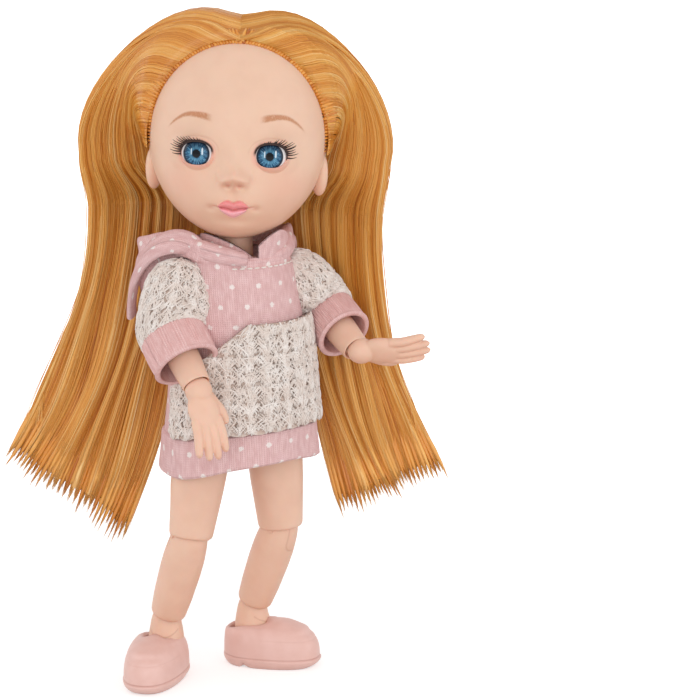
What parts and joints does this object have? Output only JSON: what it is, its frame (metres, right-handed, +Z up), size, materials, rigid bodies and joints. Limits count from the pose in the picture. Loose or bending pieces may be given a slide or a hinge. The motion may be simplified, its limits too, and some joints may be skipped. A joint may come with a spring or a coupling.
{
  "type": "jointed baby doll",
  "caption": "Standing jointed doll with a large head, long rooted hair, a hooded knit dress and moulded slip-on shoes; neck, arms, wrists, legs and ankles pose.",
  "frame": {"origin": "on the floor, under the middle of the whole doll", "axes": "+Z up, -Y the way the chest faces, +X towards the doll's left side"},
  "size_m": [0.0964, 0.0656, 0.1616],
  "materials": {
    "face_vinyl": "soft vinyl",
    "limb_plastic": "satin",
    "peg_plastic": "satin",
    "eye_gloss": "glassy",
    "hair_fibre": "silky fibre",
    "pink_knit": "fine jersey",
    "cream_knit": "open knit",
    "shoe_vinyl": "soft matt vinyl"
  },
  "bodies": {
    "torso": {"torso_front_shell": "limb_plastic", "torso_rear_shell": "limb_plastic", "dress_bodice": "pink_knit", "dress_skirt": "pink_knit", "dress_hem_band": "pink_knit", "dress_pocket": "cream_knit", "dress_hood": "pink_knit", "dress_back_strip": "pink_knit"},
    "neck": {"neck_knob": "limb_plastic", "hair_right_length": "hair_fibre", "hair_left_length": "hair_fibre", "hair_back_length": "hair_fibre"},
    "head": {"head_shell": "face_vinyl", "right_eye": "eye_gloss", "left_eye": "eye_gloss", "hair_cap": "hair_fibre"},
    "right_shoulder": {"right_shoulder_peg": "peg_plastic"},
    "right_upper_arm": {"right_upper_arm": "limb_plastic", "right_elbow_pin": "peg_plastic", "right_sleeve": "cream_knit"},
    "right_forearm": {"right_forearm": "limb_plastic", "right_cuff": "pink_knit"},
    "right_wrist": {"right_wrist_peg": "peg_plastic"},
    "right_hand": {"right_hand": "limb_plastic"},
    "right_hip": {"right_hip_peg": "peg_plastic"},
    "right_thigh": {"right_thigh": "limb_plastic", "right_knee_pin": "peg_plastic"},
    "right_shin": {"right_shin": "limb_plastic"},
    "right_ankle": {"right_ankle_peg": "peg_plastic"},
    "right_foot": {"right_foot": "limb_plastic", "right_shoe": "shoe_vinyl"},
    "left_shoulder": {"left_shoulder_peg": "peg_plastic"},
    "left_upper_arm": {"left_upper_arm": "limb_plastic", "left_elbow_pin": "peg_plastic", "left_sleeve": "cream_knit"},
    "left_forearm": {"left_forearm": "limb_plastic", "left_cuff": "pink_knit"},
    "left_wrist": {"left_wrist_peg": "peg_plastic"},
    "left_hand": {"left_hand": "limb_plastic"},
    "left_hip": {"left_hip_peg": "peg_plastic"},
    "left_thigh": {"left_thigh": "limb_plastic", "left_knee_pin": "peg_plastic"},
    "left_shin": {"left_shin": "limb_plastic"},
    "left_ankle": {"left_ankle_peg": "peg_plastic"},
    "left_foot": {"left_foot": "limb_plastic", "left_shoe": "shoe_vinyl"}
  },
  "joints": [
    {"name": "neck_turn", "type": "hinge", "parent": "torso", "child": "neck", "pos_m": [-0.00247, -0.00825, 0.1019], "axis": [0, 0, 1], "range_deg": [-23, 77], "deforming": ["hair_right_length", "hair_left_length", "hair_back_length"]},
    {"name": "neck_nod", "type": "hinge", "parent": "neck", "child": "head", "pos_m": [-0.00247, -0.00825, 0.1123], "axis": [0.891, -0.454, 0], "range_deg": [-8, 8]},
    {"name": "right_shoulder_swing", "type": "hinge", "parent": "torso", "child": "right_shoulder", "pos_m": [-0.01767, -0.00925, 0.0969], "axis": [-1, 0, 0], "range_deg": [-4, 95]},
    {"name": "right_shoulder_raise", "type": "hinge", "parent": "right_shoulder", "child": "right_upper_arm", "pos_m": [-0.01767, -0.00925, 0.0969], "axis": [0, 0.8829, -0.4695], "range_deg": [-1, 65]},
    {"name": "right_elbow_bend", "type": "hinge", "parent": "right_upper_arm", "child": "right_forearm", "pos_m": [-0.02197, -0.01451, 0.08701], "axis": [-0.5355, -0.6268, 0.5661], "range_deg": [-30, 32], "deforming": ["right_sleeve", "right_cuff"]},
    {"name": "right_wrist_twist", "type": "hinge", "parent": "right_forearm", "child": "right_wrist", "pos_m": [-0.0204, -0.02556, 0.07626], "axis": [-0.1013, 0.7131, 0.6937], "range_deg": [-45, 45]},
    {"name": "right_wrist_bend", "type": "hinge", "parent": "right_wrist", "child": "right_hand", "pos_m": [-0.0204, -0.02556, 0.07626], "axis": [0.994, 0.1022, 0.0401], "range_deg": [-75, 30]},
    {"name": "right_hip_swing", "type": "hinge", "parent": "torso", "child": "right_hip", "pos_m": [-0.01107, -0.00925, 0.0629], "axis": [-1, 0, 0], "range_deg": [-18, 70], "deforming": ["dress_skirt", "dress_hem_band", "dress_pocket"]},
    {"name": "right_hip_spread", "type": "hinge", "parent": "right_hip", "child": "right_thigh", "pos_m": [-0.01107, -0.00925, 0.0629], "axis": [0, 1, 0], "range_deg": [-8, 18]},
    {"name": "right_knee_bend", "type": "hinge", "parent": "right_thigh", "child": "right_shin", "pos_m": [-0.01557, -0.00925, 0.03628], "axis": [0.9806, -0.1045, -0.1659], "range_deg": [-18, 66]},
    {"name": "right_ankle_twist", "type": "hinge", "parent": "right_shin", "child": "right_ankle", "pos_m": [-0.01849, -0.00109, 0.0139], "axis": [0.1215, -0.3401, 0.9325], "range_deg": [-25, 25]},
    {"name": "right_ankle_bend", "type": "hinge", "parent": "right_ankle", "child": "right_foot", "pos_m": [-0.01849, -0.00109, 0.0139], "axis": [0.766, -0.6428, 0], "range_deg": [-14, 15]},
    {"name": "left_shoulder_swing", "type": "hinge", "parent": "torso", "child": "left_shoulder", "pos_m": [0.01273, -0.00925, 0.0969], "axis": [-1, 0, 0], "range_deg": [-15, 95]},
    {"name": "left_shoulder_raise", "type": "hinge", "parent": "left_shoulder", "child": "left_upper_arm", "pos_m": [0.01273, -0.00925, 0.0969], "axis": [0, -0.9998, 0.0175], "range_deg": [-6, 45]},
    {"name": "left_elbow_bend", "type": "hinge", "parent": "left_upper_arm", "child": "left_forearm", "pos_m": [0.02037, -0.00941, 0.08764], "axis": [-0.7453, 0.2481, -0.6188], "range_deg": [-60, 30], "deforming": ["left_sleeve", "left_cuff"]},
    {"name": "left_wrist_twist", "type": "hinge", "parent": "left_forearm", "child": "left_wrist", "pos_m": [0.02217, -0.02283, 0.08009], "axis": [-0.1166, 0.8654, 0.4873], "range_deg": [-45, 45]},
    {"name": "left_wrist_bend", "type": "hinge", "parent": "left_wrist", "child": "left_hand", "pos_m": [0.02217, -0.02283, 0.08009], "axis": [-0.313, -0.4976, 0.8089], "range_deg": [-105, 4]},
    {"name": "left_hip_swing", "type": "hinge", "parent": "torso", "child": "left_hip", "pos_m": [0.00613, -0.00925, 0.0629], "axis": [-1, 0, 0], "range_deg": [-18, 70]},
    {"name": "left_hip_spread", "type": "hinge", "parent": "left_hip", "child": "left_thigh", "pos_m": [0.00613, -0.00925, 0.0629], "axis": [0, -0.9998, 0.0175], "range_deg": [-3, 22]},
    {"name": "left_knee_bend", "type": "hinge", "parent": "left_thigh", "child": "left_shin", "pos_m": [0.00811, -0.00972, 0.03598], "axis": [0.8637, 0.501, 0.0547], "range_deg": [-20, 64]},
    {"name": "left_ankle_twist", "type": "hinge", "parent": "left_shin", "child": "left_ankle", "pos_m": [0.00447, -0.00104, 0.0139], "axis": [0.1515, -0.3616, 0.9199], "range_deg": [-25, 25]},
    {"name": "left_ankle_bend", "type": "hinge", "parent": "left_ankle", "child": "left_foot", "pos_m": [0.00447, -0.00104, 0.0139], "axis": [0.7071, 0.7071, 0], "range_deg": [-14, 15]}
  ]
}
